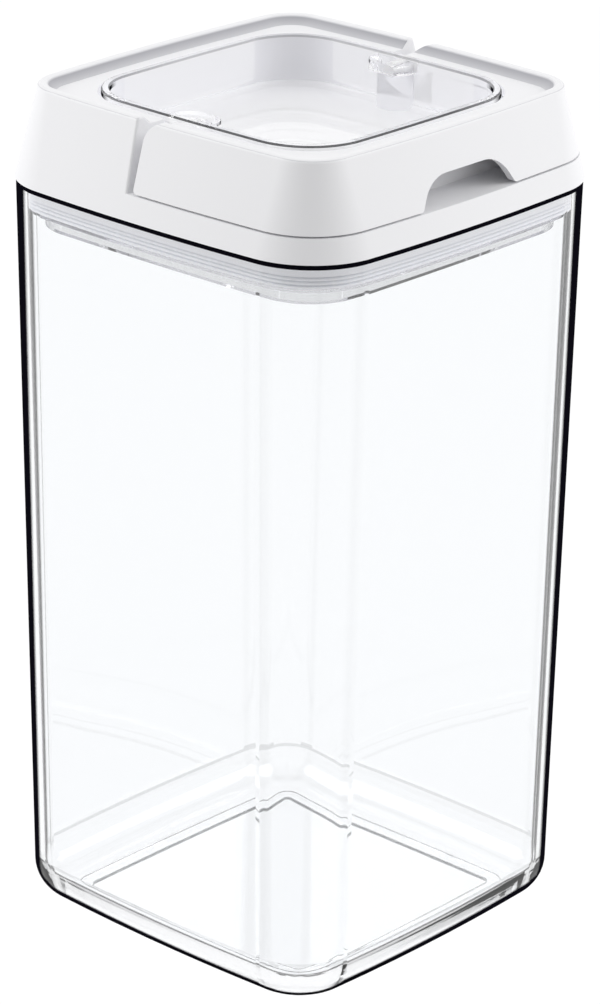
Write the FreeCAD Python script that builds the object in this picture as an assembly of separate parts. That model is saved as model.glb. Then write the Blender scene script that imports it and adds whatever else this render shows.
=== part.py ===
import FreeCAD, Part
import math
import os

# Airtight storage container: a clear square jar, and a flip-lock lid whose handle
# lifts a clear plunger so that it squeezes a silicone ring against the jar's wall.
# Millimetres, +Z up, the origin under the middle of the foot, the handle's front to -Y.

# Angles in degrees by which a bowed side bends between its middle and its corners
wall_turn = 3.5
cup_turn = 1.4

# Clear container
container_height = 184.0
rim_half_width = 52.7
rim_corner_radius = 18.8
container_draft = 2.9
draft_start = 0.5
container_wall = 2.4
floor_thickness = 2.8
base_rounding = 9.0
inside_rounding = 8.0
rim_rounding = 0.7
foot_height = 1.0
foot_inset = 14.7
foot_corner_radius = 5.5
foot_width = 3.4

# Lid envelope, shared by the fixed frame and the handle
rim_gap = 0.2
lid_overhang = 0.3
lid_height = 22.0
lid_lean = 6.45
lid_top_corner_radius = 10.3
lid_wall = 2.0
band_height = 5.6
lip_width = 1.8
lip_outer_rounding = 1.0
lip_inner_rounding = 0.6
dish_run = 2.4
dish_depth = 2.1
ledge_width = 4.25
ledge_thickness = 2.0

# Lid frame
plug_depth = 3.2
plug_clearance = 0.4
plug_wall = 2.0
deck_thickness = 2.0
inner_wall = 2.2
inner_wall_gap = 0.4
frame_end_y = 5.5
frame_end_lean = 1.1
frame_end_rounding = 0.6

# Flip handle and its lift cams
hinge_y = 1.5
hinge_below_top = 4.2
handle_end_y = 3.7
handle_end_rounding = 5.0
handle_heel_rounding = 1.0
seam_gap = 0.45
notch_half_width = 16.0
notch_top_half_width = 11.5
notch_height = 7.2
notch_rounding = 9.0
notch_foot_rounding = 1.0
ear_thickness = 3.0
ear_gap = 0.5
cam_reach = 7.6
cam_gap = 0.2
cam_room = 1.0
cam_spans = 8
plunger_travel = 2.2
opening_angle = 90.0

# Clear plunger with its window cup
cup_corner_radius = 16.0
cup_below_top = 1.2
cup_wall = 2.0
cup_depth = 12.0
cup_floor = 2.0
cup_gap = 0.8
cup_rim_rounding = 0.6
cup_inside_rounding = 2.5
column_radius = 5.0
boss_half_length = 6.0
boss_depth = 6.2
boss_height = 2.4
boss_rounding = 4.0
boss_below_rim = 0.6
flange_thickness = 0.8
flange_gap = 1.2
web_thickness = 1.6
skirt_reach = 7.7
skirt_corner_radius = 13.0
skirt_height = 4.8
skirt_wall = 2.0
collar_wall = 1.6
collar_height = 2.2

# Silicone seal
seal_height = 2.8
seal_top_gap = 0.2
seal_wall_gap = 0.3
seal_width = 3.2
seal_collar_gap = 0.1
seal_lip_count = 3
seal_lip_depth = 0.5

# Hinge pins
pin_radius = 1.5
pin_running_gap = 0.05
pin_press_gap = 0.01
pin_engagement = 5.0
pin_end_gap = 0.2

# Length by which a cutting tool passes the face that it opens, and the largest error of a level
overshoot = 1.0
level_error = 1e-4


def vec(x, y, z):
    return FreeCAD.Vector(x, y, z)


def blend(low, high, share):
    return low + (high - low) * share


def outline(half, corner, turn, z, inset=0.0):
    """Square with bowed sides and round corners, as a closed wire, moved inwards by inset."""
    lengthwise = math.cos(math.radians(turn))
    sideways = math.sin(math.radians(turn))
    centre = (half - corner) * sideways / (1 + sideways - lengthwise)
    radius = corner - inset
    tangent_x = centre + radius * lengthwise
    tangent_y = centre + radius * sideways
    bend = centre + radius * math.sqrt(0.5)
    edges = []
    for quarter in range(4):
        turn = FreeCAD.Rotation(vec(0, 0, 1), 90 * quarter)
        side_start = turn.multVec(vec(tangent_x, -tangent_y, z))
        side_middle = turn.multVec(vec(half - inset, 0, z))
        side_end = turn.multVec(vec(tangent_x, tangent_y, z))
        corner_middle = turn.multVec(vec(bend, bend, z))
        corner_end = turn.multVec(vec(tangent_y, tangent_x, z))
        edges.append(Part.Arc(side_start, side_middle, side_end).toShape())
        edges.append(Part.Arc(side_end, corner_middle, corner_end).toShape())
    return Part.Wire(edges)


def frustum(*outlines):
    """Straight-walled solid through outlines at rising heights."""
    return Part.makeLoft(list(outlines), True, True)


def prism(half, corner, low, high):
    """Upright solid of one outline of the window's family between two heights."""
    return Part.Face(outline(half, corner, cup_turn, low)).extrude(vec(0, 0, high - low))


def is_level(item, z):
    """Whether an edge or a face lies in the plane at height z."""
    return max(abs(item.BoundBox.ZMin - z), abs(item.BoundBox.ZMax - z)) < level_error


def level_edges(shape, z):
    return [edge for edge in shape.Edges if is_level(edge, z)]


def level_face(shape, z):
    return [face for face in shape.Faces if is_level(face, z)][0]


def line(start, end):
    return Part.LineSegment(start, end).toShape()


# Heights, from the foot upwards
z_rim = container_height
z_lid_foot = z_rim + rim_gap
z_seam = z_lid_foot + band_height
z_top = z_lid_foot + lid_height
z_ledge = z_top - dish_depth
z_ceiling = z_ledge - ledge_thickness
z_hinge = z_top - hinge_below_top
z_cam_seat = z_hinge - cam_reach - cam_gap
z_deck_under = z_seam - deck_thickness
z_plug_under = z_rim - plug_depth
z_cup_rim = z_top - cup_below_top
z_cup_floor = z_cup_rim - cup_depth
z_boss_top = z_cup_rim - boss_below_rim
z_flange = z_plug_under - seal_top_gap - seal_height
z_skirt_under = z_flange - skirt_height

# Half-widths and corner radii that follow from the fits
foot_half_width = rim_half_width - foot_inset
lid_foot_half = rim_half_width + lid_overhang
lid_foot_corner = rim_corner_radius + lid_overhang
lid_top_half = lid_foot_half - lid_lean
plug_inset = container_wall + plug_clearance
opening_half = lid_top_half - lip_width - dish_run - ledge_width
opening_corner = cup_corner_radius + cup_gap
cup_half_width = opening_half - cup_gap
skirt_half_width = cup_half_width + skirt_reach
inner_wall_half = opening_half + inner_wall
inner_wall_corner = opening_corner + inner_wall
ear_outside = opening_half + ear_thickness
cam_angle = math.radians(opening_angle)
cam_fall = plunger_travel / cam_angle
across = 2 * lid_foot_half


def jar_outline(z, inset=0.0):
    """Outline of the container's drafted wall at a height."""
    draft = container_draft * (z_rim - z) / (z_rim - foot_height)
    return outline(rim_half_width, rim_corner_radius, wall_turn, z, draft + inset)


def mouth_prism(inset, low, high):
    """Upright solid that follows the jar's rim, inset from its outside."""
    wire = outline(rim_half_width, rim_corner_radius, wall_turn, low, inset)
    return Part.Face(wire).extrude(vec(0, 0, high - low))


def lid_outline(z, inset=0.0):
    """Outline of the lid's leaning outer face at a height."""
    share = (z - z_lid_foot) / lid_height
    half = blend(lid_foot_half, lid_top_half, share)
    corner = blend(lid_foot_corner, lid_top_corner_radius, share)
    return outline(half, corner, wall_turn, z, inset)


def across_block(y_low, y_high, z_low, z_high):
    """Block over the lid's whole width."""
    return Part.makeBox(2 * across, y_high - y_low, z_high - z_low, vec(-across, y_low, z_low))


def across_profile(edges):
    """Solid over the lid's whole width with a side profile drawn at x = 0 in Y and Z."""
    face = Part.Face(Part.Wire(edges))
    face.translate(vec(-across, 0, 0))
    return face.extrude(vec(2 * across, 0, 0))


def jar_solid(low, high, rounding, inset):
    """Solid of the jar's outline: a round-edged upright bottom, and above it the drafted wall."""
    z_draft = low + rounding + draft_start
    bottom = Part.Face(jar_outline(z_draft, inset)).extrude(vec(0, 0, low - z_draft))
    bottom = bottom.makeFillet(rounding, level_edges(bottom, low))
    return bottom.fuse(frustum(jar_outline(z_draft, inset), jar_outline(high, inset)))


def end_edges(shape, y_low, y_high):
    """Rising edges where the lid's outer face meets an end of the frame."""
    rising = [edge for edge in shape.Edges if edge.BoundBox.ZLength > lid_height / 3]
    outer = [edge for edge in rising if abs(edge.CenterOfMass.x) > inner_wall_half + lid_wall]
    return [edge for edge in outer if edge.BoundBox.YMin > y_low and edge.BoundBox.YMax < y_high]


def make_container():
    """Moulded jar: drafted bowed walls, a round-edged base, round inside corners and a foot ring."""
    body = jar_solid(foot_height, z_rim, base_rounding, 0)
    z_floor = foot_height + floor_thickness
    jar = body.cut(jar_solid(z_floor, z_rim + overshoot, inside_rounding, container_wall))
    jar = jar.makeFillet(rim_rounding, level_edges(jar, z_rim))
    foot = prism(foot_half_width, foot_corner_radius, 0, foot_height + floor_thickness / 2)
    hollow_half = foot_half_width - foot_width
    hollow_corner = foot_corner_radius - foot_width
    foot = foot.cut(prism(hollow_half, hollow_corner, -overshoot, foot_height))
    return jar.fuse(foot).removeSplitter()


def make_lid_envelope():
    """The lid as one solid block: leaning sides, a round lip and a dished top."""
    lid = frustum(lid_outline(z_lid_foot), lid_outline(z_top))
    dish_floor = outline(lid_top_half, lid_top_corner_radius, wall_turn, z_ledge, lip_width + dish_run)
    dish_mouth = outline(lid_top_half, lid_top_corner_radius, wall_turn, z_top, lip_width)
    above = dish_mouth.copy()
    above.translate(vec(0, 0, overshoot))
    lid = lid.cut(frustum(dish_floor, dish_mouth, above))
    lip = level_face(lid, z_top)
    lid = lid.makeFillet(lip_outer_rounding, lip.OuterWire.Edges)
    lip = level_face(lid, z_top)
    inner = [w for w in lip.Wires if not w.isSame(lip.OuterWire)]
    return lid.makeFillet(lip_inner_rounding, inner[0].Edges)


def make_lid_frame(envelope):
    """White lid body: band on the rim, plug in the mouth, wall round the cup and the fixed rear rim."""
    end_at_top = frame_end_y + frame_end_lean
    front = [vec(0, -across, z_seam), vec(0, frame_end_y, z_seam), vec(0, end_at_top, z_top)]
    front += [vec(0, end_at_top, z_top + overshoot), vec(0, -across, z_top + overshoot)]
    frame = envelope.cut(across_profile([line(a, b) for a, b in zip(front, front[1:] + front[:1])]))
    frame = frame.fuse(mouth_prism(plug_inset, z_plug_under, z_lid_foot + overshoot))
    frame = frame.cut(mouth_prism(plug_inset + plug_wall, z_plug_under - overshoot, z_deck_under))
    hollow = frustum(lid_outline(z_deck_under, lid_wall), lid_outline(z_ceiling, lid_wall))
    hollow = hollow.common(across_block(end_at_top + lid_wall, across, z_deck_under, z_top))
    under_wall = z_deck_under - overshoot
    frame = frame.cut(hollow.cut(prism(inner_wall_half, inner_wall_corner, under_wall, z_top)))
    wall_top = z_ceiling - inner_wall_gap
    frame = frame.fuse(prism(inner_wall_half, inner_wall_corner, z_deck_under, wall_top))
    frame = frame.cut(prism(opening_half, opening_corner, under_wall, z_top + overshoot))
    notch_front = hinge_y - cam_reach - cam_room
    notch_rear = hinge_y + cam_reach - plunger_travel + cam_room
    room = ear_outside + ear_gap
    seat = vec(-room, notch_front, z_cam_seat)
    notch = Part.makeBox(2 * room, notch_rear - notch_front, z_ceiling - z_cam_seat, seat)
    frame = frame.cut(notch).removeSplitter()
    ends = end_edges(frame, frame_end_y - seam_gap, end_at_top + seam_gap)
    return frame.makeFillet(frame_end_rounding, ends)


def cam_point(angle):
    """Point of the lift cam in Y and Z, an involute: the seat under it falls evenly with the angle."""
    reach = cam_reach - cam_fall * angle
    y = hinge_y + reach * math.sin(angle) - cam_fall * math.cos(angle)
    z = z_hinge - reach * math.cos(angle) - cam_fall * math.sin(angle)
    return vec(0, y, z)


def make_ear(side):
    """Ear under the handle's ledge with the hinge eye and the lift cam, on the +X or -X side."""
    points = [cam_point(cam_angle * i / cam_spans) for i in range(cam_spans + 1)]
    curve = Part.BSplineCurve()
    curve.interpolate(points)
    root = z_ceiling + ledge_thickness / 2
    front = vec(0, hinge_y - cam_reach, root)
    rear = vec(0, handle_end_y - lid_wall / 2, root)
    edges = [line(front, points[0]), curve.toShape(), line(points[-1], rear), line(rear, front)]
    ear = Part.Face(Part.Wire(edges)).extrude(vec(side * ear_thickness, 0, 0))
    ear.translate(vec(side * opening_half, 0, 0))
    return ear


def hinge_cylinder(side, radius, x_low, x_high):
    """Round bar along the hinge axis between two distances from the middle."""
    start = vec(side * x_low, hinge_y, z_hinge)
    return Part.makeCylinder(radius, x_high - x_low, start, vec(side, 0, 0))


def make_flip_handle(envelope):
    """White U-shaped lever: the front half of the raised rim, hollow below, with ears at its ends."""
    low = z_seam + seam_gap
    heel = handle_end_y - handle_heel_rounding
    brow = handle_end_y - handle_end_rounding
    heel_middle = handle_heel_rounding * (1 - math.sqrt(0.5))
    brow_middle = handle_end_rounding * (1 - math.sqrt(0.5))
    bottom_front = vec(0, -across, low)
    bottom_rear = vec(0, heel, low)
    end_low = vec(0, handle_end_y, low + handle_heel_rounding)
    end_high = vec(0, handle_end_y, z_top - handle_end_rounding)
    top_rear = vec(0, brow, z_top)
    above_rear = vec(0, brow, z_top + overshoot)
    above_front = vec(0, -across, z_top + overshoot)
    heel_arc = Part.Arc(bottom_rear, vec(0, handle_end_y - heel_middle, low + heel_middle), end_low)
    brow_arc = Part.Arc(end_high, vec(0, handle_end_y - brow_middle, z_top - brow_middle), top_rear)
    side_view = [line(bottom_front, bottom_rear), heel_arc.toShape(), line(end_low, end_high)]
    side_view += [brow_arc.toShape(), line(top_rear, above_rear), line(above_rear, above_front)]
    side_view += [line(above_front, bottom_front)]
    handle = envelope.common(across_profile(side_view))
    hollow = frustum(lid_outline(z_seam, lid_wall), lid_outline(z_ceiling, lid_wall))
    handle = handle.cut(hollow.common(across_block(-across, handle_end_y - lid_wall, z_seam, z_top)))
    clear_half = inner_wall_half + inner_wall_gap
    clear_corner = inner_wall_corner + inner_wall_gap
    handle = handle.cut(prism(clear_half, clear_corner, z_seam, z_ceiling))
    handle = handle.cut(prism(opening_half, opening_corner, z_seam, z_top + overshoot))
    handle = handle.cut(make_finger_notch())
    eye_radius = pin_radius + pin_press_gap
    for side in (-1, 1):
        handle = handle.fuse(make_ear(side))
        handle = handle.cut(hinge_cylinder(side, eye_radius, cup_half_width, ear_outside))
    handle = handle.removeSplitter()
    return handle.makeFillet(notch_foot_rounding, notch_feet(handle, low))


def make_finger_notch():
    """Cutter for the opening under the handle's front, with leaning sides and round upper corners."""
    low = z_seam - overshoot
    top = z_seam + notch_height
    lean = (notch_half_width - notch_top_half_width) / notch_height
    low_half = notch_half_width + lean * overshoot
    corners = [vec(-low_half, -across, low), vec(low_half, -across, low)]
    corners += [vec(notch_top_half_width, -across, top), vec(-notch_top_half_width, -across, top)]
    cutter = Part.Face(Part.makePolygon(corners + corners[:1])).extrude(vec(0, across, 0))
    raised = [edge for edge in cutter.Edges if edge.BoundBox.ZMin > top - overshoot]
    return cutter.makeFillet(notch_rounding, [edge for edge in raised if edge.BoundBox.XLength < overshoot])


def notch_feet(handle, low):
    """Edges where the finger notch's sides meet the handle's underside."""
    under = [edge for edge in level_edges(handle, low) if abs(edge.CenterOfMass.x) < notch_half_width]
    return [edge for edge in under if edge.BoundBox.YLength > lid_wall / 2 > edge.BoundBox.XLength]


def make_window_plunger():
    """Clear moulding: the window cup with two hinge columns, and below it the flange for the seal."""
    inner_half = cup_half_width - cup_wall
    inner_corner = cup_corner_radius - cup_wall
    under = z_flange - web_thickness
    cup = prism(cup_half_width, cup_corner_radius, under, z_cup_rim)
    room = prism(inner_half, inner_corner, z_cup_floor, z_cup_rim + overshoot)
    cup = cup.cut(room.makeFillet(cup_inside_rounding, level_edges(room, z_cup_floor)))
    cup = cup.makeFillet(cup_rim_rounding, level_edges(cup, z_cup_rim))
    for side in (-1, 1):
        cup = cup.fuse(make_hinge_column(side))
    cup = cup.fuse(prism(skirt_half_width, skirt_corner_radius, z_skirt_under, z_flange))
    flange_inset = container_wall + flange_gap
    cup = cup.fuse(mouth_prism(flange_inset, z_flange - flange_thickness, z_flange))
    collar_inset = container_wall + seal_wall_gap + seal_width + seal_collar_gap
    collar_top = z_flange + collar_height
    collar = mouth_prism(collar_inset, z_flange - flange_thickness, collar_top)
    cup = cup.fuse(collar.cut(mouth_prism(collar_inset + collar_wall, z_flange, collar_top + overshoot)))
    skirt_room_half = skirt_half_width - skirt_wall
    skirt_room_corner = skirt_corner_radius - skirt_wall
    cup = cup.cut(prism(skirt_room_half, skirt_room_corner, z_skirt_under - overshoot, under))
    cup = cup.cut(prism(inner_half, inner_corner, under - overshoot, z_cup_floor - cup_floor))
    bore_radius = pin_radius + pin_running_gap
    deep = cup_half_width - pin_engagement - pin_end_gap
    for side in (-1, 1):
        cup = cup.cut(hinge_cylinder(side, bore_radius, deep, cup_half_width + overshoot))
    return cup.removeSplitter()


def make_hinge_column(side):
    """Half-round column on the inside of the cup's wall with an oval boss on top, for one pin."""
    face_x = side * (cup_half_width - cup_wall)
    tip_x = face_x - side * boss_depth
    root_x = face_x + side * cup_wall / 2
    seat = z_cup_floor - cup_floor / 2
    boss_under = z_boss_top - boss_height
    column = Part.makeCylinder(column_radius, boss_under - seat, vec(face_x, hinge_y, seat))
    start = vec(min(tip_x, root_x), hinge_y - boss_half_length, boss_under)
    boss = Part.makeBox(abs(root_x - tip_x), 2 * boss_half_length, boss_height, start)
    at_tip = [edge for edge in boss.Edges if abs(edge.CenterOfMass.x - tip_x) < level_error]
    upright = [edge for edge in at_tip if edge.BoundBox.ZLength > boss_height / 2]
    boss = boss.makeFillet(boss_rounding, upright)
    middle_half = cup_half_width - cup_wall / 2
    middle_corner = cup_corner_radius - cup_wall / 2
    return column.fuse(boss).common(prism(middle_half, middle_corner, seat, z_cup_rim))


def make_seal_ring():
    """Soft silicone ring with wiping lips round its outside, seated on the flange round the collar."""
    layers = 2 * seal_lip_count
    sections = []
    for i in range(layers + 1):
        z = z_flange + seal_height * i / layers
        valley = seal_lip_depth * ((i + 1) % 2)
        sections.append(jar_outline(z, container_wall + seal_wall_gap + valley))
    ring = frustum(*sections)
    bore_inset = container_wall + seal_wall_gap + seal_width
    return ring.cut(mouth_prism(bore_inset, z_flange - overshoot, z_flange + seal_height + overshoot))


def make_hinge_pin(side):
    """Plain pin pressed into the handle's ear and turning in the cup's column."""
    return hinge_cylinder(side, pin_radius, cup_half_width - pin_engagement, ear_outside - pin_end_gap)


os.makedirs("parts", exist_ok=True)
lid = make_lid_envelope()
nodes = {
    "container": make_container(),
    "lid_frame": make_lid_frame(lid),
    "flip_handle": make_flip_handle(lid),
    "window_plunger": make_window_plunger(),
    "seal_ring": make_seal_ring(),
    "hinge_pin_left": make_hinge_pin(-1),
    "hinge_pin_right": make_hinge_pin(1),
}
for name, shape in nodes.items():
    shape.exportStep("parts/" + name + ".step")
    print(name, "solids", len(shape.Solids), "valid", shape.isValid(), "volume", round(shape.Volume, 1))
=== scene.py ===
import math
import bmesh
import bpy
from mathutils import Matrix, Vector


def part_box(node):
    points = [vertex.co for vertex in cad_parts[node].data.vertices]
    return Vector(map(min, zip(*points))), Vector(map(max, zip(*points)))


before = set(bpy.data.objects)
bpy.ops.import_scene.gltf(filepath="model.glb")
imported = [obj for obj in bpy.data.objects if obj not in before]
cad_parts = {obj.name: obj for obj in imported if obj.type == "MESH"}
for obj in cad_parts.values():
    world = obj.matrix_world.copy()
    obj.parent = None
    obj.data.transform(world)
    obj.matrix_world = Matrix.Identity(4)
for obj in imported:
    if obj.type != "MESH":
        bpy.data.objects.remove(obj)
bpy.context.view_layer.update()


# Container: the square jar, one injection moulding in clear styrene acrylonitrile (SAN), a hard clear
# plastic. Its walls are drafted so that it leaves the mould, and it stands on a foot ring under its floor.
# The lid's skirt sits on its rim and nothing is fixed to it.
def linear(hex_colour):
    """Linear RGBA of an sRGB hex colour."""
    parts = [int(hex_colour[i:i + 2], 16) / 255 for i in (1, 3, 5)]
    return [p / 12.92 if p <= 0.04045 else ((p + 0.055) / 1.055) ** 2.4 for p in parts] + [1.0]


def add_node(tree, kind, settings=None, **links):
    """Adds a node. A setting goes to the input of that name or number, or else to the node itself. A link
    called in1 goes to input 1, any other to the input of its name, from a socket or a node's first output."""
    made = tree.nodes.new(kind)
    for name, value in (settings or {}).items():
        if isinstance(name, int) or name in made.inputs:
            made.inputs[name].default_value = value
        else:
            setattr(made, name, value)
    for name, source in links.items():
        key = int(name[2:]) if name[2:].isdigit() else name.replace("_", " ")
        tree.links.new(source.outputs[0] if isinstance(source, bpy.types.Node) else source, made.inputs[key])
    return made


def new_material(name):
    """An empty node material and its tree."""
    material = bpy.data.materials.new(name)
    material.use_nodes = True
    material.node_tree.nodes.clear()
    return material, material.node_tree


def clear_moulding(name, tint, refraction, edge_start, edge_end, level_limit, lowest_edge, painted_dark_steps,
                   painted_corner_streak=0.0, haze_base=0.0, wall_haze=0.0, floor_haze=0.0):
    """Clear SAN from a polished mould. Where a rounded edge is seen at a grazing angle it gets a painted dark
    line, which stands in for light caught in the wall and fades in from edge_start to edge_end. Flat walls,
    faces more level than level_limit and all below lowest_edge stay clear. The dark steps are small steps of
    painted shade as
    well: lowest and highest z, share of painted shade on the -X -Y half and on the other half, least and most
    distance from the middle. The corner streak is the share of painted shade where a corner's arc begins.
    wall_haze and floor_haze are the shares that a finer texture of the mould scatters above haze_base, on
    outer walls and on a low level face."""
    level_fade = 0.04
    round_from, round_to = 0.12, 0.3
    corner_from, corner_to = 0.1, 0.25
    wall_lean = (0, 0, 0.47)
    wall_line_shift, round_line_shift = -0.12, 0.04
    diagonal_share = 0.56
    half_fade = 0.03
    outer_wall_reach = 0.035
    low_face_height = 0.009
    material, tree = new_material(name)
    surface = add_node(tree, "ShaderNodeNewGeometry")
    normal = add_node(tree, "ShaderNodeSeparateXYZ", Vector=surface.outputs["Normal"])
    place = add_node(tree, "ShaderNodeTexCoord")
    at = add_node(tree, "ShaderNodeSeparateXYZ", Vector=place.outputs["Object"])

    # Which points are on a level face, a round between wall and floor, or an upright corner.
    slope = add_node(tree, "ShaderNodeMath", {"operation": "ABSOLUTE"}, in0=normal.outputs["Z"])
    upright = add_node(
        tree, "ShaderNodeMapRange",
        {"From Min": level_limit, "From Max": level_limit + level_fade, "To Min": 1.0, "To Max": 0.0},
        Value=slope)
    rounded = add_node(tree, "ShaderNodeMapRange", {"From Min": round_from, "From Max": round_to},
                       Value=slope)
    turn_x = add_node(tree, "ShaderNodeMath", {"operation": "ABSOLUTE"}, in0=normal.outputs["X"])
    turn_y = add_node(tree, "ShaderNodeMath", {"operation": "ABSOLUTE"}, in0=normal.outputs["Y"])
    skew = add_node(tree, "ShaderNodeMath", {"operation": "MINIMUM"}, in0=turn_x, in1=turn_y)
    corner = add_node(tree, "ShaderNodeMapRange", {"From Min": corner_from, "From Max": corner_to},
                      Value=skew)
    curved = add_node(tree, "ShaderNodeMath", {"operation": "MAXIMUM"}, in0=corner, in1=rounded)
    above = add_node(tree, "ShaderNodeMath", {"operation": "GREATER_THAN", 1: lowest_edge},
                     in0=at.outputs["Z"])

    # Painted dark edge lines, by Layer Weight. A wall's normal leans up here, so that its line stays thin
    # when seen from above.
    facing = add_node(tree, "ShaderNodeLayerWeight", {"Blend": 0.5})
    lean = add_node(tree, "ShaderNodeVectorMath", {"operation": "ADD", 1: wall_lean},
                    in0=surface.outputs["Normal"])
    lean = add_node(tree, "ShaderNodeVectorMath", {"operation": "NORMALIZE"}, in0=lean)
    wall_facing = add_node(tree, "ShaderNodeLayerWeight", {"Blend": 0.5}, Normal=lean)
    wall_line = add_node(
        tree, "ShaderNodeMapRange",
        {"From Min": edge_start + wall_line_shift, "From Max": edge_end + wall_line_shift},
        Value=wall_facing.outputs["Facing"])
    round_line = add_node(
        tree, "ShaderNodeMapRange",
        {"From Min": edge_start + round_line_shift, "From Max": edge_end + round_line_shift},
        Value=facing.outputs["Facing"])
    painted_shade_share = add_node(tree, "ShaderNodeMix", {"data_type": "FLOAT"}, in0=rounded, in2=wall_line, in3=round_line)
    for share in (upright, above, curved):
        painted_shade_share = add_node(tree, "ShaderNodeMath", {"operation": "MULTIPLY"}, in0=painted_shade_share, in1=share)

    # Faint painted dark streaks where the flat walls run into the corners.
    bend = add_node(tree, "ShaderNodeMath", {"operation": "PINGPONG", 1: 0.5}, in0=corner)
    bend = add_node(tree, "ShaderNodeMath", {"operation": "MULTIPLY", 1: painted_corner_streak}, in0=bend)
    painted_shade_share = add_node(tree, "ShaderNodeMath", {"operation": "MAXIMUM"}, in0=painted_shade_share, in1=bend)

    # Painted shade in dark steps, by height and by distance from the middle, which follows the rounded
    # square.
    reach_x = add_node(tree, "ShaderNodeMath", {"operation": "ABSOLUTE"}, in0=at.outputs["X"])
    reach_y = add_node(tree, "ShaderNodeMath", {"operation": "ABSOLUTE"}, in0=at.outputs["Y"])
    reach = add_node(tree, "ShaderNodeMath", {"operation": "MAXIMUM"}, in0=reach_x, in1=reach_y)
    diagonal = add_node(tree, "ShaderNodeMath", {"operation": "ADD"}, in0=reach_x, in1=reach_y)
    diagonal = add_node(tree, "ShaderNodeMath", {"operation": "MULTIPLY", 1: diagonal_share}, in0=diagonal)
    reach = add_node(tree, "ShaderNodeMath", {"operation": "MAXIMUM"}, in0=reach, in1=diagonal)
    across = add_node(tree, "ShaderNodeMath", {"operation": "ADD"}, in0=at.outputs["X"], in1=at.outputs["Y"])
    for low, high, near_painted_shade, far_painted_shade, least, most in painted_dark_steps:
        step = add_node(tree, "ShaderNodeMath", {
            "operation": "COMPARE", 1: (low + high) / 2, 2: (high - low) / 2}, in0=at.outputs["Z"])
        within = add_node(tree, "ShaderNodeMath", {
            "operation": "COMPARE", 1: (least + most) / 2, 2: (most - least) / 2}, in0=reach)
        share = add_node(
            tree, "ShaderNodeMapRange",
            {"From Min": -half_fade, "From Max": half_fade, "To Min": near_painted_shade, "To Max": far_painted_shade},
            Value=across)
        step = add_node(tree, "ShaderNodeMath", {"operation": "MULTIPLY"}, in0=step, in1=share)
        step = add_node(tree, "ShaderNodeMath", {"operation": "MULTIPLY"}, in0=step, in1=within)
        painted_shade_share = add_node(tree, "ShaderNodeMath", {"operation": "MAXIMUM"}, in0=painted_shade_share, in1=step)

    # The polished floor doesn't mirror the painted dark lines.
    path = add_node(tree, "ShaderNodeLightPath")
    mirrored = add_node(tree, "ShaderNodeMath", {"operation": "SUBTRACT"},
                        in0=path.outputs["Is Glossy Ray"], in1=path.outputs["Is Transmission Ray"])
    direct = add_node(tree, "ShaderNodeMapRange", {"To Min": 1.0, "To Max": 0.0}, Value=mirrored)
    painted_shade_share = add_node(tree, "ShaderNodeMath", {"operation": "MULTIPLY"}, in0=painted_shade_share, in1=direct)

    # Haze of the finely textured faces.
    beyond = add_node(tree, "ShaderNodeMath", {"operation": "GREATER_THAN", 1: outer_wall_reach}, in0=reach)
    wall_cloud = add_node(tree, "ShaderNodeMath", {"operation": "MULTIPLY", 1: wall_haze}, in0=upright)
    wall_cloud = add_node(tree, "ShaderNodeMath", {"operation": "MULTIPLY"}, in0=wall_cloud, in1=beyond)
    low_down = add_node(tree, "ShaderNodeMath", {"operation": "LESS_THAN", 1: haze_base + low_face_height},
                        in0=at.outputs["Z"])
    floor_cloud = add_node(tree, "ShaderNodeMapRange", {"To Min": floor_haze, "To Max": 0.0}, Value=upright)
    floor_cloud = add_node(tree, "ShaderNodeMath", {"operation": "MULTIPLY"}, in0=floor_cloud, in1=low_down)
    cloud = add_node(tree, "ShaderNodeMath", {"operation": "MAXIMUM"}, in0=wall_cloud, in1=floor_cloud)
    textured = add_node(tree, "ShaderNodeMath", {"operation": "GREATER_THAN", 1: haze_base},
                        in0=at.outputs["Z"])
    cloud = add_node(tree, "ShaderNodeMath", {"operation": "MULTIPLY"}, in0=cloud, in1=textured)

    # Clear skin, then haze and painted dark lines over it. Light for other surfaces passes straight through.
    skin = add_node(tree, "ShaderNodeBsdfPrincipled", {
        "Base Color": linear(tint), "Roughness": 0.0, "IOR": refraction, "Transmission Weight": 1.0})
    scattered = add_node(tree, "ShaderNodeBsdfDiffuse", {"Color": linear("#FFFFFF")})
    # The near-black colour of the painted dark lines and steps.
    painted_dark_edge = add_node(tree, "ShaderNodeBsdfDiffuse", {"Color": linear("#0C0B12")})
    passed = add_node(tree, "ShaderNodeBsdfTransparent", {"Color": linear("#FDFDFE")})
    look = add_node(tree, "ShaderNodeMixShader", in0=cloud, in1=skin, in2=scattered)
    look = add_node(tree, "ShaderNodeMixShader", in0=painted_shade_share, in1=look, in2=painted_dark_edge)
    look = add_node(tree, "ShaderNodeMixShader", in0=path.outputs["Is Shadow Ray"], in1=look, in2=passed)
    look = add_node(tree, "ShaderNodeMixShader", in0=path.outputs["Is Diffuse Ray"], in1=look, in2=passed)
    add_node(tree, "ShaderNodeOutputMaterial", Surface=look)
    return material


def dress(node_name, material):
    """Gives a CAD node its material."""
    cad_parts[node_name].material_slots[0].material = material


# Moulded clear SAN: colourless and sharp, with painted dark lines along the corners, the rim, the foot and
# the floor's edge, which stand in for light caught in the plastic.
jar_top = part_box("container")[1].z
# Painted shade bands on the jar: a dark line at the rim, at the foot and at the floor's edge.
rim_painted_shade = (jar_top - 0.0010, jar_top + 0.0001, 1.0, 1.0, 0.0, 0.1)
foot_painted_shade = (0.0002, 0.0008, 0.85, 0.85, 0.0, 0.1)
floor_edge_painted_shade = (0.0112, 0.0120, 0.12, 0.2, 0.0, 0.0488)
dress("container", clear_moulding(
    "moulded_clear_SAN", "#FAFBFC", refraction=1.57, edge_start=0.58, edge_end=0.65, level_limit=0.94,
    lowest_edge=-1.0, painted_dark_steps=[rim_painted_shade, foot_painted_shade, floor_edge_painted_shade], painted_corner_streak=0.045))
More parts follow.
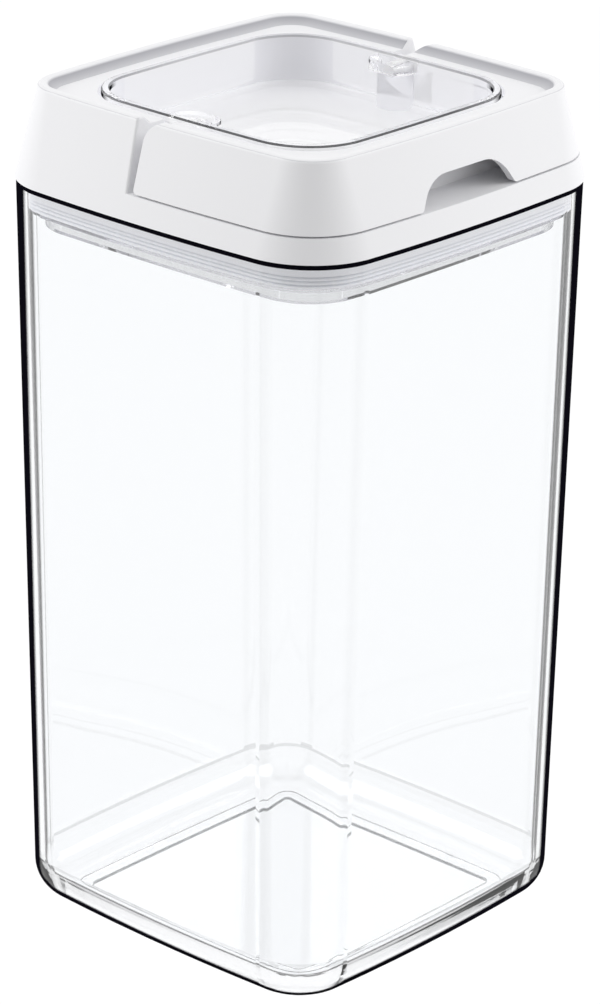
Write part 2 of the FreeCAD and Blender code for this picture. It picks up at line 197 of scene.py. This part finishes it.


# Lid frame: the lid's white body, one moulding in acrylonitrile butadiene styrene (ABS), a tough opaque
# plastic. Its skirt sits on the jar's rim, its plug reaches into the mouth, and the wall round the window
# guides the plunger.

# Moulded white ABS: a fine eroded mould leaves a satin skin, so highlights are broad and soft. The grain is
# drawn at 0.6 mm, coarser than the real one, which is too fine to show. The dish's slopes behind the lip get
# painted shade, darkest just under the lip.
abs_plastic, tree = new_material("moulded_white_ABS")
grain_width = 0.0006
smoothest, roughest = 0.38, 0.46
dish_slope, slope_spread = 0.74, 0.16
lid_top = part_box("lid_frame")[1].z
dish_floor = lid_top - 0.0022
dish_top = lid_top - 0.0006
lip_edge = lid_top - 0.0002
place = add_node(tree, "ShaderNodeTexCoord")
at = add_node(tree, "ShaderNodeSeparateXYZ", Vector=place.outputs["Object"])
grain = add_node(tree, "ShaderNodeTexNoise", {"Scale": 1 / grain_width, "Detail": 2.0},
                 Vector=place.outputs["Object"])
satin = add_node(tree, "ShaderNodeMapRange", {
    "From Min": 0.3, "From Max": 0.7, "To Min": smoothest, "To Max": roughest}, Value=grain)
bump = add_node(tree, "ShaderNodeBump", {"Strength": 0.05, "Distance": 0.0001}, Height=grain)
surface = add_node(tree, "ShaderNodeNewGeometry")
normal = add_node(tree, "ShaderNodeSeparateXYZ", Vector=surface.outputs["Normal"])
over_floor = add_node(tree, "ShaderNodeMapRange", {"From Min": dish_floor, "From Max": dish_floor + 0.0001},
                      Value=at.outputs["Z"])
under_lip = add_node(tree, "ShaderNodeMapRange", {
    "From Min": dish_top, "From Max": lip_edge, "To Min": 1.0, "To Max": 0.0}, Value=at.outputs["Z"])
sloping = add_node(tree, "ShaderNodeMath", {"operation": "COMPARE", 1: dish_slope, 2: slope_spread},
                   in0=normal.outputs["Z"])
# Painted shade on the dish slopes: from #EFEFF1 towards #A8A8AE, darkest just under the lip.
painted_dish_shade = add_node(tree, "ShaderNodeMapRange", {
    "From Min": dish_floor, "From Max": dish_top, "To Min": 0.55, "To Max": 1.0}, Value=at.outputs["Z"])
for share in (over_floor, under_lip, sloping):
    painted_dish_shade = add_node(tree, "ShaderNodeMath", {"operation": "MULTIPLY"}, in0=painted_dish_shade, in1=share)
tone = add_node(tree, "ShaderNodeMix", {"data_type": "RGBA", 6: linear("#EFEFF1"), 7: linear("#A8A8AE")},
                in0=painted_dish_shade)
skin = add_node(tree, "ShaderNodeBsdfPrincipled", {"IOR": 1.54}, Base_Color=tone.outputs[2], Roughness=satin,
                Normal=bump)
add_node(tree, "ShaderNodeOutputMaterial", Surface=skin)
dress("lid_frame", abs_plastic)


# Window plunger: the clear cup in the middle of the lid, one SAN moulding with the two hinge columns and,
# below the lid, the flange that carries the seal. It slides in the lid frame's wall and hangs on the pins.

# Moulded clear SAN, window: the cup's walls and floor come from a finer, slightly matt mould, so they glow
# white, while its rim and the flange below stay clear with painted dark edges.
cup_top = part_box("window_plunger")[1].z
# Painted shade bands on the window: the cup's rim, darker on the -X -Y half, and the flange's wall.
cup_rim_painted_shade = (cup_top - 0.0005, cup_top - 0.00005, 0.85, 0.35, 0.0, 0.1)
flange_painted_shade = (0.17, 0.1885, 0.14, 0.08, 0.0425, 0.1)
dress("window_plunger", clear_moulding(
    "moulded_clear_SAN_window", "#FEFEFF", refraction=1.2, edge_start=0.60, edge_end=0.80, level_limit=0.5,
    lowest_edge=cup_top - 0.0015, painted_dark_steps=[cup_rim_painted_shade, flange_painted_shade], haze_base=0.19, wall_haze=0.6,
    floor_haze=0.45))


# Seal ring: moulded in silicone rubber with three wiping lips. It is stretched over the plunger's flange and
# is squeezed between the flange and the lid's plug, so that its lips press on the jar's wall.

# Moulded translucent silicone: milky and matt, with painted light on the lips and painted shade in the
# grooves between them.
silicone, tree = new_material("moulded_translucent_silicone")
lip_count = 3
seal_low, seal_high = (corner.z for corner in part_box("seal_ring"))
place = add_node(tree, "ShaderNodeTexCoord")
at = add_node(tree, "ShaderNodeSeparateXYZ", Vector=place.outputs["Object"])
# Painted light on the lips and painted shade in the grooves, by height.
turns = add_node(tree, "ShaderNodeMapRange", {
    "From Min": seal_low, "From Max": seal_high, "To Min": -math.pi / 2,
    "To Max": 2 * math.pi * lip_count - math.pi / 2}, Value=at.outputs["Z"])
painted_lip_shade = add_node(tree, "ShaderNodeMath", {"operation": "SINE"}, in0=turns)
painted_lip_shade = add_node(tree, "ShaderNodeMapRange", {"From Min": -1.0, "From Max": 0.6}, Value=painted_lip_shade)
tone = add_node(tree, "ShaderNodeMix", {"data_type": "RGBA", 6: linear("#E0E2E6"), 7: linear("#FCFCFE")},
                in0=painted_lip_shade)
skin = add_node(tree, "ShaderNodeBsdfPrincipled", {
    "Roughness": 0.45, "IOR": 1.41, "Transmission Weight": 0.1}, Base_Color=tone.outputs[2])
add_node(tree, "ShaderNodeOutputMaterial", Surface=skin)
dress("seal_ring", silicone)


# Flip handle: the U-shaped lever that makes the front half of the raised rim, moulded in the lid's white ABS.
# Its ears turn on the hinge pins, and their cams bear on the lid frame.
dress("flip_handle", abs_plastic)


# Hinge pins: two plain 3 mm pins of acetal, a hard slippery plastic, pressed into the handle's ears and
# turning in the plunger's columns.

# Moulded white acetal: creamier and a little glossier than the ABS, with faint flow marks about 1 mm long.
acetal, tree = new_material("moulded_white_acetal")
flow_length = 0.001
place = add_node(tree, "ShaderNodeTexCoord")
flow = add_node(tree, "ShaderNodeTexNoise", {"Scale": 1 / flow_length, "Detail": 1.0},
                Vector=place.outputs["Object"])
tone = add_node(tree, "ShaderNodeMix", {"data_type": "RGBA", 6: linear("#E4E4E2"), 7: linear("#EFEFED")},
                in0=flow)
bump = add_node(tree, "ShaderNodeBump", {"Strength": 0.05, "Distance": 0.0001}, Height=flow)
skin = add_node(tree, "ShaderNodeBsdfPrincipled", {"Roughness": 0.32, "IOR": 1.48},
                Base_Color=tone.outputs[2], Normal=bump)
add_node(tree, "ShaderNodeOutputMaterial", Surface=skin)
for name in ("hinge_pin_left", "hinge_pin_right"):
    dress(name, acetal)


# Floor: a sheet of white paper under the jar. It is white where it is seen and keeps the jar's shadow. The
# light that it throws up is weaker along the line of sight, in front and behind.
half_side, sheet_drop = 3.0, 0.0002
sight_line = (-0.742, -0.671, 0)
paper_glow, shadow_share = 1.05, 0.2
side_bounce, sight_bounce = 1.15, 0.5
floor_mesh = bpy.data.meshes.new("floor")
floor = bpy.data.objects.new("floor", floor_mesh)
bpy.context.scene.collection.objects.link(floor)
sheet = bmesh.new()
bmesh.ops.create_grid(sheet, x_segments=1, y_segments=1, size=half_side)
bmesh.ops.translate(sheet, vec=(0, 0, -sheet_drop), verts=sheet.verts)
sheet.to_mesh(floor_mesh)
sheet.free()
paper, tree = new_material("white_paper")
path = add_node(tree, "ShaderNodeLightPath")
seen = add_node(tree, "ShaderNodeMath", {"operation": "MAXIMUM"},
                in0=path.outputs["Is Camera Ray"], in1=path.outputs["Is Transmission Ray"])
seen = add_node(tree, "ShaderNodeMath", {"operation": "MAXIMUM"}, in0=seen, in1=path.outputs["Is Glossy Ray"])
lit_white = add_node(tree, "ShaderNodeEmission", {"Color": (1, 1, 1, 1), "Strength": paper_glow})
matt = add_node(tree, "ShaderNodeBsdfDiffuse", {"Color": linear("#FFFFFF")})
sheet_look = add_node(tree, "ShaderNodeMixShader", {"Fac": shadow_share}, in1=lit_white, in2=matt)
place = add_node(tree, "ShaderNodeTexCoord")
outward = add_node(tree, "ShaderNodeVectorMath", {"operation": "NORMALIZE"}, in0=place.outputs["Object"])
along = add_node(tree, "ShaderNodeVectorMath", {"operation": "DOT_PRODUCT", 1: sight_line}, in0=outward)
along = add_node(tree, "ShaderNodeMath", {"operation": "ABSOLUTE"}, in0=along.outputs["Value"])
strength = add_node(tree, "ShaderNodeMapRange", {
    "From Min": 0.6, "From Max": 0.95, "To Min": side_bounce, "To Max": sight_bounce}, Value=along)
bounce = add_node(tree, "ShaderNodeEmission", {"Color": (1, 1, 1, 1)}, Strength=strength)
sheet_light = add_node(tree, "ShaderNodeMixShader", in0=seen, in1=bounce, in2=sheet_look)
add_node(tree, "ShaderNodeOutputMaterial", Surface=sheet_light)
floor_mesh.materials.append(paper)


# Studio light: a white tent with a dimmer card in front and behind, which shades the lid's corners, and two
# soft lamps high up on the left and the right.
card_line = (-0.717, -0.648, 0)
card_lift = 0.259
tent_strength, card_strength = 0.92, 0.25
lamp_watts, lamp_size, lamp_height, aim_height = 4.2, 0.6, 0.85, 0.15
world = bpy.data.worlds.new("studio")
bpy.context.scene.world = world
world.use_nodes = True
tree = world.node_tree
tree.nodes.clear()
direction = add_node(tree, "ShaderNodeTexCoord")
along = add_node(tree, "ShaderNodeVectorMath", {"operation": "DOT_PRODUCT", 1: card_line},
                 in0=direction.outputs["Generated"])
along = add_node(tree, "ShaderNodeMath", {"operation": "ABSOLUTE"}, in0=along.outputs["Value"])
height = add_node(tree, "ShaderNodeSeparateXYZ", Vector=direction.outputs["Generated"])
height = add_node(tree, "ShaderNodeMath", {"operation": "MULTIPLY", 1: card_lift}, in0=height.outputs["Z"])
card = add_node(tree, "ShaderNodeMath", {"operation": "ADD"}, in0=along, in1=height)
tent = add_node(tree, "ShaderNodeMapRange", {
    "From Min": 0.6, "From Max": 0.92, "To Min": tent_strength, "To Max": card_strength}, Value=card)
path = add_node(tree, "ShaderNodeLightPath")
seen = add_node(tree, "ShaderNodeMath", {"operation": "MAXIMUM"},
                in0=path.outputs["Is Camera Ray"], in1=path.outputs["Is Transmission Ray"])
seen = add_node(tree, "ShaderNodeMath", {"operation": "MAXIMUM"}, in0=seen, in1=path.outputs["Is Glossy Ray"])
level = add_node(tree, "ShaderNodeMix", {"data_type": "FLOAT", 3: 1.0}, in0=seen, in2=tent)
glow = add_node(tree, "ShaderNodeBackground", {"Color": (1, 1, 1, 1)}, Strength=level)
add_node(tree, "ShaderNodeOutputWorld", Surface=glow)
for side, bearing in (("left", -137.9), ("right", 42.1)):
    lamp_data = bpy.data.lights.new("soft_lamp_" + side, "AREA")
    lamp_data.energy = lamp_watts
    lamp_data.size = lamp_size
    lamp = bpy.data.objects.new("soft_lamp_" + side, lamp_data)
    turn = math.radians(bearing)
    lamp_place = Vector((math.sin(turn), -math.cos(turn), lamp_height))
    aim = (lamp_place - Vector((0, 0, aim_height))).to_track_quat("Z", "Y").to_matrix().to_4x4()
    lamp.matrix_world = Matrix.Translation(lamp_place) @ aim
    bpy.context.scene.collection.objects.link(lamp)


# Camera: about 1 m from the jar, at the photograph's viewing angle, and the ray depths that the stacked clear
# walls need.
azimuth, elevation, roll = (math.radians(degrees) for degrees in (-47.88, 21.92, 0.85))
distance = 0.99914
focal_pixels, image_height = 4212.37, 1004
target_height, target_side = 0.10292, 0.00104
back = Vector((math.sin(azimuth) * math.cos(elevation), -math.cos(azimuth) * math.cos(elevation),
               math.sin(elevation)))
right = Vector((math.cos(azimuth), math.sin(azimuth), 0))
up = back.cross(right)
rolled_right = right * math.cos(roll) + up * math.sin(roll)
rolled_up = up * math.cos(roll) - right * math.sin(roll)
camera_data = bpy.data.cameras.new("camera")
camera_data.sensor_fit = "VERTICAL"
camera_data.sensor_height = 36.0
camera_data.lens = focal_pixels / image_height * camera_data.sensor_height
camera = bpy.data.objects.new("camera", camera_data)
turned = Matrix((rolled_right, rolled_up, back)).transposed().to_4x4()
stand = Vector((0, 0, target_height)) + right * target_side + back * distance
camera.matrix_world = Matrix.Translation(stand) @ turned
bpy.context.scene.collection.objects.link(camera)
bpy.context.scene.camera = camera
bpy.context.scene.view_settings.view_transform = "Standard"
paths = bpy.context.scene.cycles
paths.max_bounces = 24
paths.transmission_bounces = 24
paths.diffuse_bounces = 6
paths.transparent_max_bounces = 40
